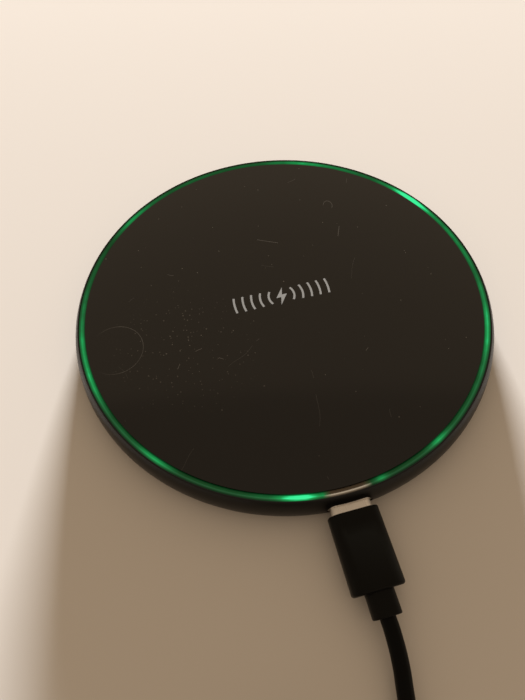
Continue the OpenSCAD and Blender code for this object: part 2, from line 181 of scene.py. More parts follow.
def new_group(name, inputs, outputs):
    """An empty shader node group of numbers: its tree, its input node and its output node."""
    tree = bpy.data.node_groups.new(name, "ShaderNodeTree")
    for label, value in inputs.items():
        tree.interface.new_socket(label, in_out="INPUT", socket_type="NodeSocketFloat").default_value = value
    for label in outputs:
        tree.interface.new_socket(label, in_out="OUTPUT", socket_type="NodeSocketFloat")
    return tree, tree.nodes.new("NodeGroupInput").outputs, tree.nodes.new("NodeGroupOutput").inputs


# Moulded grain: a fine pebbled height, and wide soft patches for an uneven gloss.
grain_group, given, result = new_group("moulded_grain", {"Grains": 4000, "Patches": 60}, ["Height", "Patch"])
place = add(grain_group, "TexCoord").outputs["Object"]
fine = add(grain_group, "TexNoise", {
    "Vector": place, "Scale": given["Grains"], "Detail": 3, "Roughness": 0.6})
wide = add(grain_group, "TexNoise", {
    "Vector": place, "Scale": given["Patches"], "Detail": 4, "Roughness": 0.6})
grain_group.links.new(fine.outputs[0], result["Height"])
grain_group.links.new(wide.outputs[0], result["Patch"])


def moulded(name, colour, roughness, grains=4000, depth=0.012, gloss_spread=0.12, **constants):
    """A moulded plastic or rubber: pebbled, with a gloss that varies softly."""
    finish = material(name, colour, roughness, **constants)
    tree = finish.node_tree
    shader = tree.nodes["Principled BSDF"]
    grain = add(tree, "Group", node_tree=grain_group)
    grain.inputs["Grains"].default_value = grains
    gloss = add(tree, "MapRange", {"Value": grain.outputs["Patch"], "From Min": 0.3, "From Max": 0.7,
                                   "To Min": roughness - gloss_spread, "To Max": roughness + gloss_spread})
    bump = add(tree, "Bump", {"Height": grain.outputs["Height"], "Strength": 0.5, "Distance": depth * MM})
    tree.links.new(gloss.outputs[0], shader.inputs["Roughness"])
    tree.links.new(bump.outputs[0], shader.inputs["Normal"])
    return finish


def ease(x):
    """0 to 1, flat at both ends."""
    x = min(max(x, 0.0), 1.0)
    return x * x * (3 - 2 * x)


def turn_place(turn):
    """Layer and radius of a turn: the lower layer is wound inwards, the upper one outwards."""
    layer, step = divmod(turn, turns_across)
    across = step if layer % 2 else turns_across - 1 - step
    return layer, coil_mid_r + (across - (turns_across - 1) / 2) * turn_pitch


def wound_point(turn, angle):
    """A point on the wound cord. A turn moves over to the next place late in its round, and the
    last turn of a layer climbs to the one above."""
    layer, radius = turn_place(turn)
    last = turn + 1 == turns_across * turn_layers
    next_layer, next_radius = (layer, radius) if last else turn_place(turn + 1)
    radius += (next_radius - radius) * ease((angle - move_over[0]) / (move_over[1] - move_over[0]))
    level = layer + (next_layer - layer) * ease((angle - climb[0]) / (climb[1] - climb[0]))
    return coil_centre + Vector((radius * cos(angle), -radius * sin(angle), low_turn_z + level * turn_pitch))


def from_exit(route):
    """A route given in millimetres from the neck's end, as places in the scene."""
    return [Vector((x * MM, exit_y + y * MM, z * MM)) for x, y, z in route]


cord_route = from_exit(lead_route)
for turn in range(turns_across * turn_layers):
    cord_route += [wound_point(turn, 2 * pi * step / turn_steps) for step in range(turn_steps)]
cord_route += [wound_point(turns_across * turn_layers - 1, 2 * pi)] + from_exit(tail_route)

cord_curve = bpy.data.curves.new("cord", "CURVE")
cord_curve.dimensions = "3D"
cord_curve.bevel_depth = 1
cord_curve.bevel_resolution = 3
cord_curve.resolution_u = 4
cord_curve.use_fill_caps = True
line = cord_curve.splines.new("BEZIER")
line.bezier_points.add(len(cord_route) - 1)
for point, spot in zip(line.bezier_points, cord_route):
    point.co, point.radius = spot, cord_d / 2
    point.handle_left_type = point.handle_right_type = "AUTO"
cord = keep("cord", cord_curve)
cord_curve.materials.append(moulded(
    "cord_sheath", sheath_colour, 0.42, grains=2500, depth=0.006, Specular_IOR_Level=0.1))
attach(cord, "cable")
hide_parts("cord_lead", "cord_coil", "cord_tail")


# ---- Ties round the spare length ----------------------------------------------------------------
# Two plastic-coated wire ties, each a flat strip wrapped round the bundle with its ends twisted
# together in the coil's hole. The coil rests on their lower runs.
tie_t = 0.8 * MM
tie_w = 3.5 * MM
bundle_w = 12.8 * MM
bundle_h = 6.1 * MM
tie_corner = 1.5 * MM
twist_l = 7 * MM
twist_turns = 2.5
strand_r = 0.42 * MM


def solid(name, points, faces, finish, sharp=35):
    """A closed mesh piece: doubles merged, faces outwards, smooth except at its sharp edges."""
    mesh = bpy.data.meshes.new(name)
    mesh.from_pydata([tuple(p) for p in points], [], faces)
    work = bmesh.new()
    work.from_mesh(mesh)
    bmesh.ops.remove_doubles(work, verts=work.verts, dist=1e-7)
    bmesh.ops.recalc_face_normals(work, faces=work.faces)
    work.to_mesh(mesh)
    work.free()
    mesh.materials.append(finish)
    mesh.shade_smooth()
    mesh.set_sharp_from_angle(angle=radians(sharp))
    return keep(name, mesh)


def loft(rings, joined=False):
    """Points and faces of a skin through rings of equal count: capped at both ends, or joined."""
    count = len(rings[0])
    points = [p for ring in rings for p in ring]
    faces = []
    for i in range(len(rings) if joined else len(rings) - 1):
        a, b = i * count, (i + 1) % len(rings) * count
        faces += [(a + k, a + (k + 1) % count, b + (k + 1) % count, b + k) for k in range(count)]
    if not joined:
        faces += [tuple(range(count))[::-1], tuple(range(len(points) - count, len(points)))]
    return points, faces


def join(*shells):
    """Several shells' points and faces as one."""
    points, faces = [], []
    for shell_points, shell_faces in shells:
        faces += [tuple(len(points) + i for i in face) for face in shell_faces]
        points += shell_points
    return points, faces


def arc(centre, radius, start, end, steps):
    """Points on an arc in a plane, angles in degrees."""
    turns = [radians(start + (end - start) * i / steps) for i in range(steps + 1)]
    return [(centre[0] + radius * cos(a), centre[1] + radius * sin(a)) for a in turns]


def rounded_outline(width, height, radius, steps=7):
    """A rectangle with round corners, counter-clockwise round the origin."""
    across, up = width / 2 - radius, height / 2 - radius
    points = []
    for k, (sx, sy) in enumerate([(1, 1), (-1, 1), (-1, -1), (1, -1)]):
        points += arc((sx * across, sy * up), radius, 90 * k, 90 * k + 90, steps)
    return points


def tie_shells(direction):
    """The wrapped strip and the twisted ends of one tie, on the coil's +Y or -Y side."""
    middle = coil_centre + Vector((0, direction * coil_mid_r, tie_t + bundle_h / 2))
    rings = []
    for inset, half in [(0, tie_w / 2 - 0.15 * MM), (0.15 * MM, tie_w / 2), (tie_t - 0.15 * MM, tie_w / 2),
                        (tie_t, tie_w / 2 - 0.15 * MM)]:
        rings.append((inset, half))
    section = rings + [(inset, -half) for inset, half in reversed(rings)]
    loops = []
    for inset, along in section:
        outline = rounded_outline(bundle_w + 2 * inset, bundle_h + 2 * inset, tie_corner + inset)
        loops.append([middle + Vector((along, u, v)) for u, v in outline])
    shells = [loft(loops, joined=True)]
    start = middle + Vector((0, -direction * (bundle_w / 2 + tie_t), -1.2 * MM))
    for side in (0, pi):
        strand = []
        for i in range(33):
            t = i / 32
            turn = side + 2 * pi * twist_turns * t
            heart = start + Vector((0, -direction * twist_l * t, -1.2 * MM * t * t))
            heart += Vector((cos(turn), 0, sin(turn))) * strand_r * 1.05
            strand.append([heart + Vector((cos(a), 0, sin(a))) * strand_r for a in
                           [2 * pi * k / 8 for k in range(8)]])
        shells.append(loft(strand))
    return shells


tie_plastic = moulded("tie_plastic", (0.012, 0.012, 0.012), 0.34, grains=1500)
ties = solid("cord_tie_strips", *join(*tie_shells(1), *tie_shells(-1)), tie_plastic)
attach(ties, "cable")
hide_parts("cord_ties")


# ---- USB-C plug ---------------------------------------------------------------------------------
# A black elastomer body moulded over the plug, with soft shoulders and a crisp front, and a short
# flattened neck of the same stuff where the cord leaves.
plug_front_low, plug_front_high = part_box("plug_overmold")
body_front = -plug_front_high[1]
body_back = -plug_front_low[1]
body_w = plug_front_high[0] - plug_front_low[0]
body_t = plug_front_high[2] - plug_front_low[2]
body_corner = 2.3 * MM
neck_low, neck_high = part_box("plug_strain_relief")
neck_end = -neck_low[1]
neck_w = neck_high[0] - neck_low[0]
neck_t = neck_high[2] - neck_low[2]
neck_corner = 1.9 * MM
shell_low, shell_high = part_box("plug_shell")
shell_w = shell_high[0] - shell_low[0]
shell_h = shell_high[2] - shell_low[2]
shell_mouth = -shell_high[1]
shell_root = -shell_low[1]
shell_wall = 0.25 * MM
overmould_colour = (0.0032, 0.003, 0.0022)


def port_side(u, v, d):
    """A place on the port's axis: u across, v up, d away from the pad's centre."""
    return Vector((u, -d, port_z + v))


def filleted(frame_of, outline, d0, d1, edge0, edge1, steps=4):
    """Rings of a moulded body from d0 to d1, its two ends rounded over by their edge radii.
    outline(inset) gives the section drawn in by that much."""
    rings = []
    for i in range(steps + 1):
        a = pi / 2 * i / steps
        rings.append((edge0 * (1 - sin(a)), d0 + edge0 * (1 - cos(a))))
    for i in range(steps + 1):
        a = pi / 2 * i / steps
        rings.append((edge1 * (1 - cos(a)), d1 - edge1 * (1 - sin(a))))
    return [[frame_of(u, v, d) for u, v in outline(inset)] for inset, d in rings]


def section(width, height, corner):
    """A rounded rectangle that can be drawn in by an inset."""
    return lambda inset=0: rounded_outline(
        width - 2 * inset, height - 2 * inset, max(corner - inset, 0.05 * MM))


def slot_ring(frame_of, width, height, d):
    """A ring on the outline of a slot with round ends."""
    return [frame_of(u, v, d) for u, v in rounded_outline(width, height, height / 2 - 0.001 * MM)]


overmould = moulded("overmould_black", overmould_colour, 0.4, grains=3500, depth=0.01, gloss_spread=0.08,
                    Specular_IOR_Level=0.13)
body_rings = filleted(
    port_side, section(body_w, body_t, body_corner), body_front, body_back, 0.25 * MM, 0.55 * MM)
pocket = [slot_ring(port_side, shell_w, shell_h, d) for d in (shell_root, body_front)]
plug_body = solid("plug_moulded_body", *loft(pocket + body_rings), overmould)
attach(plug_body, "cable")
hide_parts("plug_overmold")

neck_rings = filleted(
    port_side, section(neck_w, neck_t, neck_corner), body_back - 0.3 * MM, neck_end, 0.01 * MM, 0.3 * MM)
plug_neck = solid("plug_neck", *loft(neck_rings), overmould)
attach(plug_neck, "cable")
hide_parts("plug_strain_relief")


# ---- USB-C plug: shell, insulator and contacts --------------------------------------------------
# A drawn steel shell, nickel plated, its mouth rolled a little inwards. Inside, a black insulator
# with the slot for the port's tongue, and two rows of gold-plated strips.
lip = 0.09 * MM


def brushed(name, colour, roughness, lines=900.0, stretch=(1, 0.04, 1), metallic=1.0):
    """A plated metal with faint drawing lines along one way."""
    finish = material(name, colour, roughness, metallic)
    tree = finish.node_tree
    shader = tree.nodes["Principled BSDF"]
    spot = add(tree, "Mapping", {
        "Vector": add(tree, "TexCoord").outputs["Object"], "Scale": stretch}).outputs[0]
    streaks = add(tree, "TexNoise", {
        "Vector": spot, "Scale": lines, "Detail": 5, "Roughness": 0.65}).outputs[0]
    gloss = add(tree, "MapRange", {"Value": streaks, "From Min": 0.3, "From Max": 0.7,
                                   "To Min": roughness - 0.08, "To Max": roughness + 0.1})
    bump = add(tree, "Bump", {"Height": streaks, "Strength": 0.25, "Distance": 0.004 * MM})
    tree.links.new(gloss.outputs[0], shader.inputs["Roughness"])
    tree.links.new(bump.outputs[0], shader.inputs["Normal"])
    return finish


def shell_rings(frame_of, outline, mouth, root, wall):
    """Rings round the wall of a thin open shell: out at the root, over the rolled mouth, back in."""
    stations = [(0, root), (0, mouth + 2 * lip), (lip * 0.3, mouth + lip * 0.6), (lip, mouth),
                (wall - lip * 0.5, mouth), (wall, mouth + lip * 0.7), (wall, root)]
    return [[frame_of(u, v, d) for u, v in outline(inset)] for inset, d in stations]


nickel = brushed("nickel_plate", (0.86, 0.82, 0.76), 0.3)
slot_section = section(shell_w, shell_h, shell_h / 2 - 0.001 * MM)
plug_shell_rings = shell_rings(port_side, slot_section, shell_mouth, shell_root, shell_wall)
plug_shell = solid("plug_steel_shell", *loft(plug_shell_rings, joined=True), nickel)
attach(plug_shell, "cable")
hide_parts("plug_shell")


def refinish(finish, *nodes):
    """Gives carried-over CAD nodes a finish."""
    for node in nodes:
        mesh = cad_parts[node].data
        mesh.materials.clear()
        mesh.materials.append(finish)


gold = brushed("gold_plate", (0.83, 0.60, 0.24), 0.26)
connector_black = moulded("connector_black", (0.012, 0.012, 0.013), 0.45, grains=6000)
refinish(connector_black, "plug_insulator", "port_tongue")
refinish(gold, "plug_contacts", "port_contacts", "usb_a_contacts")
refinish(nickel, "port_shell")


# ---- USB-A plug ---------------------------------------------------------------------------------
# The far plug: a black moulded body with softly rounded edges and a neck, a folded steel shell with
# two latch windows on each face, and a white insulator with four contacts.
far_body_low, far_body_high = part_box("usb_a_overmold")
far_neck_low, far_neck_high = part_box("usb_a_strain_relief")
far_shell_low, far_shell_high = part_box("usb_a_shell")
far_y = (far_body_low[1] + far_body_high[1]) / 2
far_z = (far_body_low[2] + far_body_high[2]) / 2
far_body_w = far_body_high[1] - far_body_low[1]
far_body_t = far_body_high[2] - far_body_low[2]
far_neck_w = far_neck_high[1] - far_neck_low[1]
far_neck_t = far_neck_high[2] - far_neck_low[2]
far_shell_w = far_shell_high[1] - far_shell_low[1]
far_shell_h = far_shell_high[2] - far_shell_low[2]


def far_side(u, v, d):
    """A place on the far plug: u across, v up, d towards its mouth from the pad's Y axis."""
    return Vector((-d, far_y - u, far_z + v))


far_pocket = [[far_side(u, v, d) for u, v in section(far_shell_w, far_shell_h, 0.35 * MM)()]
              for d in (-far_shell_high[0], -far_body_low[0])]
far_rings = filleted(far_side, section(far_body_w, far_body_t, 2.2 * MM), -far_body_high[0], -far_body_low[0],
                     0.8 * MM, 0.35 * MM)
far_body = solid("far_plug_moulded_body", *loft(far_rings + far_pocket[::-1]), overmould)
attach(far_body, "cable")
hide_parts("usb_a_overmold")

far_neck_rings = filleted(far_side, section(far_neck_w, far_neck_t, 1.9 * MM), -far_neck_high[0],
                          -far_neck_low[0] + 0.3 * MM, 0.4 * MM, 0.01 * MM)
far_neck = solid("far_plug_neck", *loft(far_neck_rings), overmould)
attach(far_neck, "cable")
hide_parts("usb_a_strain_relief")

refinish(nickel, "usb_a_shell")
refinish(moulded("connector_white", (0.78, 0.78, 0.75), 0.4, grains=6000), "usb_a_insulator")


# ---- Bottom cover and rubber ring ---------------------------------------------------------------
# A black ABS cover with a spark-eroded texture, and the silicone ring glued into its groove. The
# ring's underside is moulded with fine concentric ribs that grip the table.
foot_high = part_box("anti_slip_ring")[1]
foot_out_r = foot_high[0]
foot_w = 5.9 * MM
foot_h = foot_high[2]
foot_round = 0.2 * MM
rib_count = 7
rib_depth = 0.12 * MM


def outline_of(*corners):
    """A closed outline of radius and height in millimetres, each corner eased by its third number."""
    points = []
    for k, (r, z, cut) in enumerate(corners):
        here = Vector((r, z)) * MM
        if not cut:
            points.append(tuple(here))
            continue
        sides = [Vector(corners[(k + step) % len(corners)][:2]) * MM - here for step in (-1, 1)]
        a, b = [here + side.normalized() * cut * MM for side in sides]
        points += [tuple(a.lerp(here, t / 4).lerp(here.lerp(b, t / 4), t / 4)) for t in range(5)]
    return points


def turned(profile, closed=True, steps=256):
    """Points and faces of a profile turned round the Z axis: a closed outline, or a disc's edge."""
    turns = [2 * pi * i / steps for i in range(steps)]
    return loft([[(r * cos(a), r * sin(a), z) for a in turns] for r, z in profile], joined=closed)


foot_in_r = foot_out_r - foot_w
ribs = []
for k in range(rib_count):
    r = foot_in_r + foot_round + (foot_w - 2 * foot_round) * k / rib_count
    step = (foot_w - 2 * foot_round) / rib_count
    ribs += [(r, 0), (r + step * 0.6, 0), (r + step * 0.75, rib_depth), (r + step * 0.9, rib_depth)]
foot_profile = ribs + arc((foot_out_r - foot_round, foot_round), foot_round, -90, 0, 4)
foot_profile += [(foot_out_r, foot_h), (foot_in_r, foot_h)]
foot_profile += arc((foot_in_r + foot_round, foot_round), foot_round, 180, 270, 4)[:-1]
silicone = moulded("silicone_black", (0.014, 0.014, 0.014), 0.62, grains=2500, gloss_spread=0.06)
foot = solid("grip_ring", *turned(foot_profile), silicone, sharp=25)
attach(foot, "pad")
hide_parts("anti_slip_ring")

abs_black = moulded("abs_black", (0.014, 0.014, 0.015), 0.5, grains=3000, depth=0.02)
refinish(abs_black, "base_cover", "deck")
refinish(brushed("zinc_plate", (0.62, 0.63, 0.64), 0.35), "cover_screws")


# ---- Side frame ---------------------------------------------------------------------------------
# A turned aluminium rim, black anodised: a convex side wall with a narrow flat on top, an inner
# ledge for the light ring, and a milled window with rounded ends for the port.
pad_r = 50 * MM
rim_inset = 1.55 * MM
rim_top_w = 0.25 * MM
belly_z = 2.9 * MM
lower_inset = 1.1 * MM
frame_low, frame_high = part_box("side_frame")
frame_foot_z, rim_z = frame_low[2], frame_high[2]
floor_z = 1.6 * MM
ledge_top = 2.6 * MM
ledge_r = 46.175 * MM
frame_bore_r = pad_r - rim_inset - rim_top_w
cover_gap = 0.05 * MM
cover_bore_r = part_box("base_cover")[1][0] + cover_gap
window_w, window_h = 9.24 * MM, 3.46 * MM
wall_steps = 14


def side_arc(inset, top, steps):
    """The side wall from the belly to another height, where it lies inset from the widest point:
    an arc that is upright at the belly."""
    rise = top - belly_z
    radius = (inset * inset + rise * rise) / (2 * inset)
    reach = atan2(rise, radius - inset) * 180 / pi
    return [(r / MM, z / MM, 0) for r, z in arc((pad_r - radius, belly_z), radius, 0, reach, steps)]


def carved(name, points_faces, cutter_shell, finish, sharp=35):
    """A closed piece with another shell's space taken out of it."""
    body = solid(name, *points_faces, finish, sharp)
    cutter = solid(name + "_cutter", *cutter_shell, finish)
    cut = body.modifiers.new("cut", "BOOLEAN")
    cut.object, cut.solver = cutter, "EXACT"
    made = bpy.data.meshes.new_from_object(body.evaluated_get(bpy.context.evaluated_depsgraph_get()))
    body.modifiers.clear()
    body.data = made
    made.name = name
    bpy.data.objects.remove(cutter)
    made.shade_smooth()
    made.set_sharp_from_angle(angle=radians(sharp))
    return body


lower_wall = side_arc(lower_inset, frame_foot_z, wall_steps)[::-1]
upper_wall = side_arc(rim_inset, rim_z, wall_steps)[1:]
lower_wall[0] = (*lower_wall[0][:2], 0.06)
upper_wall[-1] = (*upper_wall[-1][:2], 0.07)
frame_profile = outline_of(
    *lower_wall, *upper_wall, (frame_bore_r / MM, rim_z / MM, 0.06), (frame_bore_r / MM, ledge_top / MM, 0),
    (ledge_r / MM, ledge_top / MM, 0), (ledge_r / MM, floor_z / MM, 0), (cover_bore_r / MM, floor_z / MM, 0),
    (cover_bore_r / MM, frame_foot_z / MM, 0.06))
window = [[port_side(u, v, d) for u, v in section(window_w + flare, window_h + flare, window_h / 2)(0)]
          for d, flare in [(pad_r - 9 * MM, 0), (pad_r - 0.35 * MM, 0), (pad_r + 0.2 * MM, 0.5 * MM)]]

anodised = moulded("black_anodised", (0.0035, 0.0033, 0.003), 0.34, grains=9000, depth=0.006,
                   gloss_spread=0.07, Specular_IOR_Level=0.3)
side_frame = carved("side_rim", turned(frame_profile), loft(window), anodised)
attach(side_frame, "pad")
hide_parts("side_frame")


# ---- Light ring ---------------------------------------------------------------------------------
# A moulded clear guide with a frosted slope, lit from eight green lamps on the board below. It is
# brightest over each lamp, and stays unlit over the port, where the plated socket shows through.
ring_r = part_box("light_ring")[1][0] / MM
ring_in_r = 45.975
slope_r = 46.875
shoulder_z = 6.0
slope_z = 6.65
crest_r, crest_z = 47.825, 7.0
band_from_r, band_to_r = 46.8, 48.2
notch_half_w = 4.77
notch_corners = [(-52, 1), (-40, 1), (-40, 5.33), (-52, 5.33)]
lamp_angles = [24, 66, 118, 156, 222, 276, 312, 348]
glow_swells = [
    (8.4, 0.24, 1.1), (26, 0.30, 2.3), (35, 0.05, 8), (64, 0.36, 10), (97, 0.21, 11), (109, 0.07, 4),
    (117.5, 0.95, 4.2), (128, 0.10, 5), (142, 0.08, 9), (157, 0.28, 8), (196, 0.08, 16), (221, 0.24, 5.5),
    (256, 0.11, 10), (272, 0.20, 8), (283, 0.25, 7), (305, 0.05, 6), (312.5, 0.28, 3.2), (342, 0.08, 5),
    (348.6, 0.85, 2.7), (354.6, 0.12, 0.8),
]
veil_level = 0.1
# Glow levels across the guide's width: partly the lamps' light, partly painted highlight lines where the
# polished lip would mirror the room.
glow_and_highlight_levels = [
    (0.16, 0.4), (0.27, 0.85), (0.36, 0.72), (0.46, 1.0), (0.62, 0.95), (0.7, 0.62), (0.86, 0.5),
]
glow_colours = [(0.14, (0.002, 0.045, 0.01)), (0.3, (0.003, 0.105, 0.026)), (0.6, (0.004, 0.3, 0.07))]
dark_guide = (0.004, 0.012, 0.006)
bare_guide = (0.13, 0.105, 0.075)
port_half_angle = 4.7


def port_turn(angle):
    """Radians from the X axis of a place given in degrees from the port, seen from above."""
    return radians(angle - 90)


def light_guide():
    """The lit guide: its glow swells over each lamp, and a finer line of light runs round its lip, partly the
    lamps' own light and partly a painted highlight of the polished lip.
    """
    finish = material("light_guide", dark_guide, 0.3, Specular_IOR_Level=0.2)
    tree = finish.node_tree
    shader = tree.nodes["Principled BSDF"]
    place = add(tree, "TexCoord").outputs["Object"]
    flat = add(tree, "VectorMath", {0: place, 1: (1, 1, 0)}, operation="MULTIPLY").outputs[0]
    radius = add(tree, "VectorMath", {0: flat}, operation="LENGTH").outputs["Value"]
    way = add(tree, "VectorMath", {0: flat}, operation="NORMALIZE").outputs[0]
    glow = veil_level
    for angle, level, spread in glow_swells:
        turn = port_turn(angle)
        near = add(tree, "VectorMath", {0: way, 1: (cos(turn), sin(turn), 0)},
                   operation="DOT_PRODUCT").outputs["Value"]
        sharpness = 1 / radians(spread) ** 2
        swell = calc(tree, "EXPONENT", calc(tree, "MULTIPLY", calc(tree, "SUBTRACT", near, 1), sharpness))
        glow = calc(tree, "MULTIPLY_ADD", swell, level, glow)
    # Across the width: the glow is banded by radius, partly lamp light and partly painted highlight lines of
    # the polished lip.
    across = add(tree, "MapRange", {
        "Value": radius, "From Min": band_from_r * MM, "From Max": band_to_r * MM}).outputs[0]
    bands = add(tree, "ValToRGB", {"Fac": across})
    bands.color_ramp.elements[0].color = (0.3, 0.3, 0.3, 1)
    bands.color_ramp.elements[1].color = (0.12, 0.12, 0.12, 1)
    for spot, level in glow_and_highlight_levels:
        bands.color_ramp.elements.new(spot).color = (level, level, level, 1)
    lip = calc(tree, "MULTIPLY", bands.outputs["Color"], 1.5)
    cloud = add(tree, "TexNoise", {"Vector": place, "Scale": 260, "Detail": 3}).outputs[0]
    uneven = add(tree, "MapRange", {"Value": cloud, "From Min": 0.3, "From Max": 0.7,
                                    "To Min": 0.82, "To Max": 1.15}).outputs[0]
    glow = calc(tree, "MULTIPLY", calc(tree, "MULTIPLY", glow, lip), uneven)
    from_port = add(tree, "VectorMath", {0: way, 1: (0, -1, 0)}, operation="DOT_PRODUCT").outputs["Value"]
    over_port = add(tree, "MapRange", {"Value": from_port, "From Min": cos(radians(port_half_angle + 1.2)),
                                       "From Max": cos(radians(port_half_angle - 0.8))}).outputs[0]
    glow = calc(tree, "MULTIPLY", glow, calc(tree, "SUBTRACT", 1, over_port))
    light = add(tree, "ValToRGB", {"Fac": glow})
    ramp = light.color_ramp.elements
    ramp[0].position, ramp[0].color = 0, (0, 0, 0, 1)
    ramp[1].position, ramp[1].color = 1, (0.04, 0.9, 0.33, 1)
    for spot, colour in glow_colours:
        ramp.new(spot).color = (*colour, 1)
    body = add(tree, "Mix", {"Factor": over_port, "A": (*dark_guide, 1), "B": (*bare_guide, 1)},
               data_type="RGBA")
    tree.links.new(light.outputs["Color"], shader.inputs["Emission Color"])
    tree.links.new(body.outputs["Result"], shader.inputs["Base Color"])
    shader.inputs["Emission Strength"].default_value = 1
    return finish


ring_profile = outline_of(
    (ring_in_r, ledge_top / MM, 0.1), (ring_r, ledge_top / MM, 0.1), (ring_r, crest_z, 0.06),
    (crest_r, crest_z, 0.1), (slope_r, slope_z, 0.05), (slope_r, shoulder_z, 0), (ring_in_r, shoulder_z, 0.1))
port_notch = [[(side * notch_half_w * MM, y * MM, z * MM) for y, z in notch_corners] for side in (-1, 1)]
guide = carved("light_guide_ring", turned(ring_profile), loft(port_notch), light_guide())
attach(guide, "pad")
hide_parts("light_ring")


# ---- Top plate ----------------------------------------------------------------------------------
# A black acrylic disc with a satin hard coat and a finely broken edge. It has dust, hairline
# scratches from phones, and the faint ring that a wet cup leaves near its left edge.
plate_low, plate_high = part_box("top_plate")
plate_r, plate_z, plate_top = plate_high[0] / MM, plate_low[2] / MM, plate_high[2] / MM
plate_colour = (0.0032, 0.0026, 0.0018)
dust_colour = (0.10, 0.085, 0.065)
scratch_colour = (0.16, 0.14, 0.115)
cup_mark = (-40.2, -4.5)
cup_mark_r = 6.25
short_scratches = [
    (1.15, 17.65, -27, 5.5), (19.8, 16.0, 66, 3.5), (14.4, -19.3, 40, 0.9), (-22.0, -9.5, 12, 1.6),
    (-17.5, -13.0, -35, 1.1), (-27.0, -12.5, 60, 1.3),
]
rubbed_place, rubbed_reach = (-25, -8), 19
edge_break = 0.1
top_round = 0.14

# Dust: bright specks of uneven size, sparse and thrown about.
dust_group, given, result = new_group("dust_specks", {"Cells": 600, "Size": 0.22, "Share": 0.35}, ["Mask"])
place = add(dust_group, "TexCoord").outputs["Object"]
cells = add(dust_group, "TexVoronoi", {"Vector": place, "Scale": given["Cells"]})
chance = add(dust_group, "SeparateColor", {"Color": cells.outputs["Color"]}).outputs[0]
size = calc(dust_group, "MULTIPLY", given["Size"], calc(dust_group, "SUBTRACT", given["Share"], chance))
speck = calc(dust_group, "LESS_THAN", cells.outputs["Distance"], size)
dust_group.links.new(speck, result["Mask"])

# A patch: full at a place on the pad, fading out over its reach.
patch_group, given, result = new_group("soft_patch", {"X": 0, "Y": 0, "Reach": 0.02}, ["Mask"])
place = add(patch_group, "TexCoord").outputs["Object"]
heart = add(patch_group, "CombineXYZ", {"X": given["X"], "Y": given["Y"]})
flat = add(patch_group, "VectorMath", {0: place, 1: (1, 1, 0)}, operation="MULTIPLY").outputs[0]
gap = add(patch_group, "VectorMath", {0: flat, 1: heart.outputs[0]}, operation="DISTANCE").outputs["Value"]
fade = calc(patch_group, "SUBTRACT", 1, calc(patch_group, "DIVIDE", gap, given["Reach"]))
patch_group.links.new(calc(patch_group, "MAXIMUM", fade, 0), result["Mask"])

# Hairlines: thin wandering lines along one level of a soft noise, broken up by another.
hairline_group, given, result = new_group("hairlines", {"Spread": 45, "Width": 0.0006}, ["Mask"])
place = add(hairline_group, "TexCoord").outputs["Object"]
hills = add(hairline_group, "TexNoise", {"Vector": place, "Scale": given["Spread"], "Detail": 1}).outputs[0]
from_level = calc(hairline_group, "ABSOLUTE", calc(hairline_group, "SUBTRACT", hills, 0.5))
line_mask = calc(hairline_group, "LESS_THAN", from_level, given["Width"])
gaps = add(hairline_group, "TexNoise", {"Vector": place, "Scale": 110, "Detail": 2}).outputs[0]
kept = calc(hairline_group, "GREATER_THAN", gaps, 0.6)
hairline_group.links.new(calc(hairline_group, "MULTIPLY", line_mask, kept), result["Mask"])


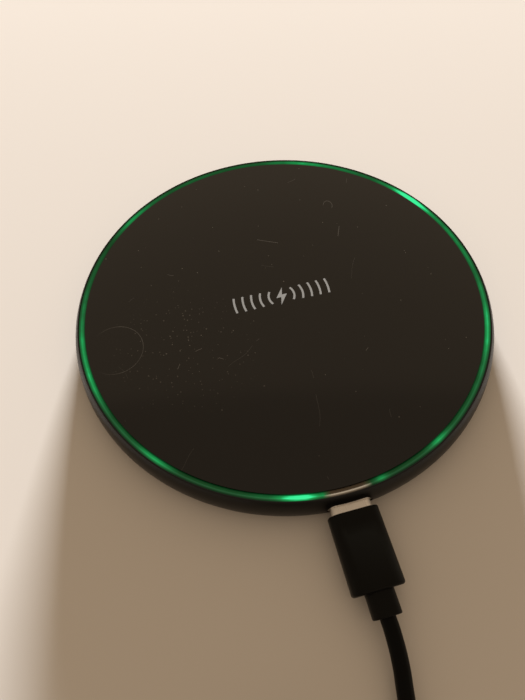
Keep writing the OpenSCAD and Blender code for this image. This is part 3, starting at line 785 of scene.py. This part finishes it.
def acrylic():
    """Satin black acrylic with its wear."""
    finish = material("black_acrylic", plate_colour, 0.2, IOR=1.5)
    tree = finish.node_tree
    shader = tree.nodes["Principled BSDF"]
    place = add(tree, "TexCoord").outputs["Object"]
    grain = add(tree, "Group", node_tree=grain_group)
    grain.inputs["Grains"].default_value = 7000
    grain.inputs["Patches"].default_value = 35
    dust = add(tree, "Group", node_tree=dust_group).outputs["Mask"]
    rubbed = add(tree, "Group", {
        "X": rubbed_place[0] * MM, "Y": rubbed_place[1] * MM, "Reach": rubbed_reach * MM,
    }, node_tree=patch_group).outputs["Mask"]
    lint = add(tree, "Group", {"Cells": 1300, "Size": 0.3, "Share": 0.75},
               node_tree=dust_group).outputs["Mask"]
    dust = calc(tree, "MAXIMUM", dust, calc(tree, "MULTIPLY", calc(tree, "MULTIPLY", lint, rubbed), 0.9))
    hairs = add(tree, "Group", node_tree=hairline_group).outputs["Mask"]
    off = add(tree, "VectorMath", {0: place, 1: (cup_mark[0] * MM, cup_mark[1] * MM, plate_top * MM)},
              operation="SUBTRACT").outputs[0]
    mark_gap = add(tree, "VectorMath", {0: off}, operation="LENGTH").outputs["Value"]
    rim_gap = calc(tree, "ABSOLUTE", calc(tree, "SUBTRACT", mark_gap, cup_mark_r * MM))
    faded = add(tree, "TexNoise", {"Vector": place, "Scale": 420, "Detail": 2}).outputs[0]
    east = add(tree, "SeparateXYZ", {"Vector": off}).outputs["X"]
    arc_part = add(tree, "MapRange", {
        "Value": east, "From Min": -4.5 * MM, "From Max": 1 * MM, "To Max": 0.6}).outputs[0]
    on_mark = calc(tree, "LESS_THAN", rim_gap, calc(tree, "MULTIPLY", faded, 0.11 * MM))
    worn = calc(tree, "MULTIPLY", on_mark, arc_part)
    for x, y, turn, length in short_scratches:
        turned_to = add(tree, "Mapping", {
            "Vector": place, "Location": (x * MM, y * MM, 0), "Rotation": (0, 0, radians(turn)),
        }, vector_type="TEXTURE").outputs[0]
        along = add(tree, "SeparateXYZ", {"Vector": turned_to})
        inside = calc(tree, "LESS_THAN", calc(tree, "ABSOLUTE", along.outputs["X"]), length / 2 * MM)
        thin = calc(tree, "LESS_THAN", calc(tree, "ABSOLUTE", along.outputs["Y"]), 0.045 * MM)
        worn = calc(tree, "MAXIMUM", worn, calc(tree, "MULTIPLY", inside, thin))
    worn = calc(tree, "MAXIMUM", worn, calc(tree, "MULTIPLY", hairs, 0.5))
    with_dust = add(tree, "Mix", {"Factor": dust, "A": (*plate_colour, 1), "B": (*dust_colour, 1)},
                    data_type="RGBA")
    with_wear = add(tree, "Mix", {
        "Factor": calc(tree, "MULTIPLY", worn, 0.55), "A": with_dust.outputs["Result"],
        "B": (*scratch_colour, 1),
    }, data_type="RGBA")
    gloss = add(tree, "MapRange", {"Value": grain.outputs["Patch"], "From Min": 0.3, "From Max": 0.7,
                                   "To Min": 0.12, "To Max": 0.16}).outputs[0]
    rough = calc(tree, "MAXIMUM", gloss, calc(tree, "MULTIPLY", calc(tree, "MAXIMUM", worn, dust), 0.6))
    bump = add(tree, "Bump", {"Height": grain.outputs["Height"], "Strength": 0.12, "Distance": 0.002 * MM})
    tree.links.new(with_wear.outputs["Result"], shader.inputs["Base Color"])
    tree.links.new(rough, shader.inputs["Roughness"])
    tree.links.new(bump.outputs[0], shader.inputs["Normal"])
    return finish


plate_edge = [
    (plate_r - edge_break, plate_z), (plate_r, plate_z + edge_break), (plate_r, plate_top - top_round),
]
plate_edge += arc((plate_r - top_round, plate_top - top_round), top_round, 0, 90, 6)[1:]
plate_disc = turned([(r * MM, z * MM) for r, z in plate_edge], closed=False)
plate = solid("charging_surface", *plate_disc, acrylic())
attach(plate, "pad")
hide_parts("top_plate")


# ---- Printed mark -------------------------------------------------------------------------------
# A pale grey charging sign screen-printed in the middle of the plate: a bolt with waves on its two
# sides.
ink_t = 0.02
wave_radii = [3.1, 5.2, 7.3, 9.4, 11.5]
wave_half_h = 2.2
wave_w = 0.5
bolt = [(0.7, 2.4), (-1.35, -0.4), (-0.15, -0.4), (-0.7, -2.6), (1.4, 0.3), (0.2, 0.3)]


def printed(outline):
    """A thin slab of ink on the plate, its outline in millimetres."""
    heights = (plate_top - 0.01, plate_top + ink_t)
    return loft([[(x * MM, y * MM, z * MM) for x, y in outline] for z in heights])


ink_shells = [printed(bolt)]
for radius in wave_radii:
    half = atan2(wave_half_h, radius) * 180 / pi
    for side in (0, 180):
        band = arc((0, 0), radius + wave_w / 2, side - half, side + half, 16)
        band += arc((0, 0), radius - wave_w / 2, side + half, side - half, 16)
        ink_shells.append(printed(band))
pale_ink = moulded("pale_ink", (0.30, 0.305, 0.30), 0.5, grains=5000, depth=0.004)
mark = solid("printed_mark", *join(*ink_shells), pale_ink)
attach(mark, "pad")


# ---- Charging coil ------------------------------------------------------------------------------
# Litz wire, served with nylon, wound flat in twelve touching turns and bonded to the ferrite.
coil_low, coil_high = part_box("charging_coil")
wire_d = coil_high[2] - coil_low[2]
coil_turns = 12
coil_out_r = coil_high[0]


def node_tree(name, **inputs):
    """A geometry node tree with named inputs: numbers, whole numbers and materials."""
    tree = bpy.data.node_groups.new(name, "GeometryNodeTree")
    tree.interface.new_socket("Geometry", in_out="INPUT", socket_type="NodeSocketGeometry")
    tree.interface.new_socket("Geometry", in_out="OUTPUT", socket_type="NodeSocketGeometry")
    for label, kind in inputs.items():
        tree.interface.new_socket(label.replace("_", " "), in_out="INPUT", socket_type="NodeSocket" + kind)
    return tree, tree.nodes.new("NodeGroupInput").outputs, tree.nodes.new("NodeGroupOutput").inputs


def place_node(tree, kind, feeds=None, **settings):
    """A node of a geometry tree, its inputs fed by name or number."""
    node = tree.nodes.new(kind)
    for name, value in settings.items():
        setattr(node, name, value)
    for key, feed in (feeds or {}).items():
        if isinstance(feed, bpy.types.NodeSocket):
            tree.links.new(feed, node.inputs[key])
        else:
            node.inputs[key].default_value = feed
    return node


def grown(name, tree, spots, sharp=35, **values):
    """The plain mesh that a geometry tree makes from these points, as a piece."""
    seeds = bpy.data.meshes.new(name + "_seeds")
    seeds.from_pydata([tuple(spot) for spot in spots], [], [])
    piece = keep(name, seeds)
    modifier = piece.modifiers.new("grow", "NODES")
    modifier.node_group = tree
    for item in tree.interface.items_tree:
        label = item.name.replace(" ", "_")
        if item.in_out == "INPUT" and label in values:
            modifier[item.identifier] = values[label]
    made = bpy.data.meshes.new_from_object(piece.evaluated_get(bpy.context.evaluated_depsgraph_get()))
    piece.modifiers.clear()
    piece.data = made
    made.name = name
    made.shade_smooth()
    made.set_sharp_from_angle(angle=radians(sharp))
    return piece


spiral_tree, given, result = node_tree(
    "flat_winding", Turns="Float", Inner_Radius="Float", Outer_Radius="Float",
    Wire_Radius="Float", Height="Float", Finish="Material")
spiral = place_node(spiral_tree, "GeometryNodeCurveSpiral", {
    "Resolution": 72, "Rotations": given["Turns"], "Start Radius": given["Inner Radius"],
    "End Radius": given["Outer Radius"], "Height": 0.0})
round_wire = place_node(spiral_tree, "GeometryNodeCurvePrimitiveCircle", {
    "Resolution": 12, "Radius": given["Wire Radius"]})
winding = place_node(spiral_tree, "GeometryNodeCurveToMesh", {
    "Curve": spiral.outputs[0], "Profile Curve": round_wire.outputs[0], "Fill Caps": True})
lift = place_node(spiral_tree, "ShaderNodeCombineXYZ", {"Z": given["Height"]})
lifted = place_node(spiral_tree, "GeometryNodeTransform", {
    "Geometry": winding.outputs[0], "Translation": lift.outputs[0]})
real = place_node(spiral_tree, "GeometryNodeRealizeInstances", {"Geometry": lifted.outputs[0]})
coated = place_node(spiral_tree, "GeometryNodeSetMaterial", {
    "Geometry": real.outputs[0], "Material": given["Finish"]})
spiral_tree.links.new(coated.outputs[0], result["Geometry"])


def litz():
    """Enamelled strands under a thin serving: fine bright and dark copper lines across the lay."""
    finish = material("litz_copper", (0.45, 0.2, 0.08), 0.4, 0.7)
    tree = finish.node_tree
    shader = tree.nodes["Principled BSDF"]
    place = add(tree, "TexCoord").outputs["Object"]
    strands = add(tree, "TexWave", {"Vector": place, "Scale": 900, "Distortion": 6, "Detail": 2},
                  wave_type="RINGS", rings_direction="Z").outputs["Fac"]
    tint = add(tree, "Mix", {"Factor": strands, "A": (0.2, 0.075, 0.03, 1), "B": (0.62, 0.3, 0.12, 1)},
               data_type="RGBA")
    bump = add(tree, "Bump", {"Height": strands, "Strength": 0.5, "Distance": 0.03 * MM})
    tree.links.new(tint.outputs["Result"], shader.inputs["Base Color"])
    tree.links.new(bump.outputs[0], shader.inputs["Normal"])
    return finish


copper = litz()
coil = grown("litz_winding", spiral_tree, [(0, 0, 0)], Turns=float(coil_turns - 1), Wire_Radius=wire_d / 2,
             Inner_Radius=coil_out_r - (coil_turns - 0.5) * wire_d, Outer_Radius=coil_out_r - wire_d / 2,
             Height=coil_low[2] + wire_d / 2, Finish=copper)
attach(coil, "pad")
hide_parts("charging_coil")
refinish(copper, "coil_leads")


# ---- Circuit board and its parts ----------------------------------------------------------------
# A ring-shaped green board. Chip capacitors and resistors with tinned ends stand round it, and the
# lamps stand at its edge below the light ring.
board_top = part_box("main_board")[1][2]


def board_green():
    """Solder mask over copper: lighter where a track or pour lies under it."""
    finish = material("board_green", (0.01, 0.09, 0.035), 0.35, Coat_Weight=0.4, Coat_Roughness=0.2)
    tree = finish.node_tree
    shader = tree.nodes["Principled BSDF"]
    place = add(tree, "TexCoord").outputs["Object"]
    pours = add(tree, "TexVoronoi", {"Vector": place, "Scale": 160, "Randomness": 0.6}, distance="CHEBYCHEV",
                feature="F2").outputs["Distance"]
    tracks = calc(tree, "GREATER_THAN", calc(tree, "FRACT", calc(tree, "MULTIPLY", pours, 3)), 0.35)
    tint = add(tree, "Mix", {"Factor": tracks, "A": (0.006, 0.06, 0.025, 1), "B": (0.014, 0.12, 0.045, 1)},
               data_type="RGBA")
    bump = add(tree, "Bump", {"Height": tracks, "Strength": 0.4, "Distance": 0.03 * MM})
    tree.links.new(tint.outputs["Result"], shader.inputs["Base Color"])
    tree.links.new(bump.outputs[0], shader.inputs["Normal"])
    return finish


refinish(board_green(), "main_board")

core_width, core_height = 0.96, 0.97
chip_tree, given, result = node_tree(
    "chips_on_board", Length="Float", Width="Float", Height="Float", End="Float",
    Body="Material", Ends="Material")
shrink = place_node(chip_tree, "ShaderNodeMath", {0: given["Length"], 1: given["End"]}, operation="SUBTRACT")
slim = place_node(chip_tree, "ShaderNodeMath", {0: given["Width"], 1: core_width}, operation="MULTIPLY")
flat_top = place_node(chip_tree, "ShaderNodeMath", {0: given["Height"], 1: core_height}, operation="MULTIPLY")
core_size = place_node(chip_tree, "ShaderNodeCombineXYZ", {
    "X": shrink.outputs[0], "Y": slim.outputs[0], "Z": flat_top.outputs[0]})
core = place_node(chip_tree, "GeometryNodeMeshCube", {"Size": core_size.outputs[0]})
end_size = place_node(chip_tree, "ShaderNodeCombineXYZ", {
    "X": given["End"], "Y": given["Width"], "Z": given["Height"]})
end_block = place_node(chip_tree, "GeometryNodeMeshCube", {"Size": end_size.outputs[0]})
reach = place_node(chip_tree, "ShaderNodeMath", {0: shrink.outputs[0], 1: 0.5}, operation="MULTIPLY")
both_ends = place_node(chip_tree, "GeometryNodeJoinGeometry")
for side in (-1, 1):
    shift = place_node(chip_tree, "ShaderNodeMath", {0: reach.outputs[0], 1: float(side)},
                       operation="MULTIPLY")
    away = place_node(chip_tree, "ShaderNodeCombineXYZ", {"X": shift.outputs[0]})
    moved = place_node(chip_tree, "GeometryNodeTransform", {
        "Geometry": end_block.outputs[0], "Translation": away.outputs[0]})
    chip_tree.links.new(moved.outputs[0], both_ends.inputs[0])
half_h = place_node(chip_tree, "ShaderNodeMath", {0: given["Height"], 1: 0.5}, operation="MULTIPLY")
stand = place_node(chip_tree, "ShaderNodeCombineXYZ", {"Z": half_h.outputs[0]})
here = place_node(chip_tree, "GeometryNodeInputPosition")
outwards = place_node(chip_tree, "ShaderNodeVectorMath", {0: here.outputs[0], 1: (1, 1, 0)},
                      operation="MULTIPLY")
faced = place_node(chip_tree, "FunctionNodeAlignRotationToVector", {"Vector": outwards.outputs[0]}, axis="X")
chips = place_node(chip_tree, "GeometryNodeJoinGeometry")
for part, stuff in [(both_ends, "Ends"), (core, "Body")]:
    standing = place_node(chip_tree, "GeometryNodeTransform", {
        "Geometry": part.outputs[0], "Translation": stand.outputs[0]})
    set_out = place_node(chip_tree, "GeometryNodeInstanceOnPoints", {
        "Points": given["Geometry"], "Instance": standing.outputs[0], "Rotation": faced.outputs[0]})
    real = place_node(chip_tree, "GeometryNodeRealizeInstances", {"Geometry": set_out.outputs[0]})
    dressed = place_node(chip_tree, "GeometryNodeSetMaterial", {
        "Geometry": real.outputs[0], "Material": given[stuff]})
    chip_tree.links.new(dressed.outputs[0], chips.inputs[0])
chip_tree.links.new(chips.outputs[0], result["Geometry"])


def board_spots(radius, angles):
    """Places on the board at a radius in millimetres and angles in degrees from the X axis."""
    return [(radius * MM * cos(radians(a)), radius * MM * sin(radians(a)), board_top) for a in angles]


ceramic = moulded("ceramic_tan", (0.30, 0.2, 0.12), 0.4, grains=3000, depth=0.01)
chip_black = moulded("chip_black", (0.018, 0.018, 0.019), 0.5, grains=3500, depth=0.015)
solder = brushed("tinned_ends", (0.7, 0.7, 0.68), 0.4, stretch=(1, 1, 1))
lamp_white = moulded("lamp_white", (0.72, 0.74, 0.68), 0.4, grains=3000, depth=0.01)
resonant_angles = [-30 + 8 * i for i in range(4)]
passive_angles = [-90 + s * (22 + 3.5 * i) for i in range(8) for s in (-1, 1)]
chip_rows = [
    ("resonant_capacitors", 34, resonant_angles, (4.5, 3.2, 1.9, 0.6), ceramic, "ceramic_tan"),
    ("input_capacitors", 40.8, [-102, -78], (1.6, 3.2, 1.6, 0.35), ceramic, "ceramic_tan"),
    ("sense_resistor", 34, [-122.5], (3.2, 1.6, 0.6, 0.5), chip_black, "chip_black"),
    ("small_passives", 41.4, passive_angles, (0.8, 1.6, 0.7, 0.25), ceramic, "ceramic_tan"),
    ("status_leds", 44.875, [a - 90 for a in lamp_angles], (1.0, 3.2, 1.2, 0.2), lamp_white, "lamp_white"),
]
for node, radius, angles, (length, width, height, end), body_finish, slot in chip_rows:
    row = grown(node + "_set", chip_tree, board_spots(radius, angles), Length=length * MM, Width=width * MM,
                Height=height * MM, End=end * MM, Body=body_finish, Ends=solder)
    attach(row, "pad")
    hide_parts(node)
refinish(chip_black, "control_chip", "bridge_chips")
refinish(moulded("bead_blue", (0.02, 0.06, 0.25), 0.35, grains=3000), "thermistor")

refinish(moulded("ferrite_grey", (0.045, 0.045, 0.048), 0.5, grains=2500, depth=0.02), "ferrite")
adhesive = moulded("adhesive_film", (0.55, 0.53, 0.42), 0.45, grains=1500)
refinish(adhesive, "ferrite_tape", "coil_film", "plate_tape")
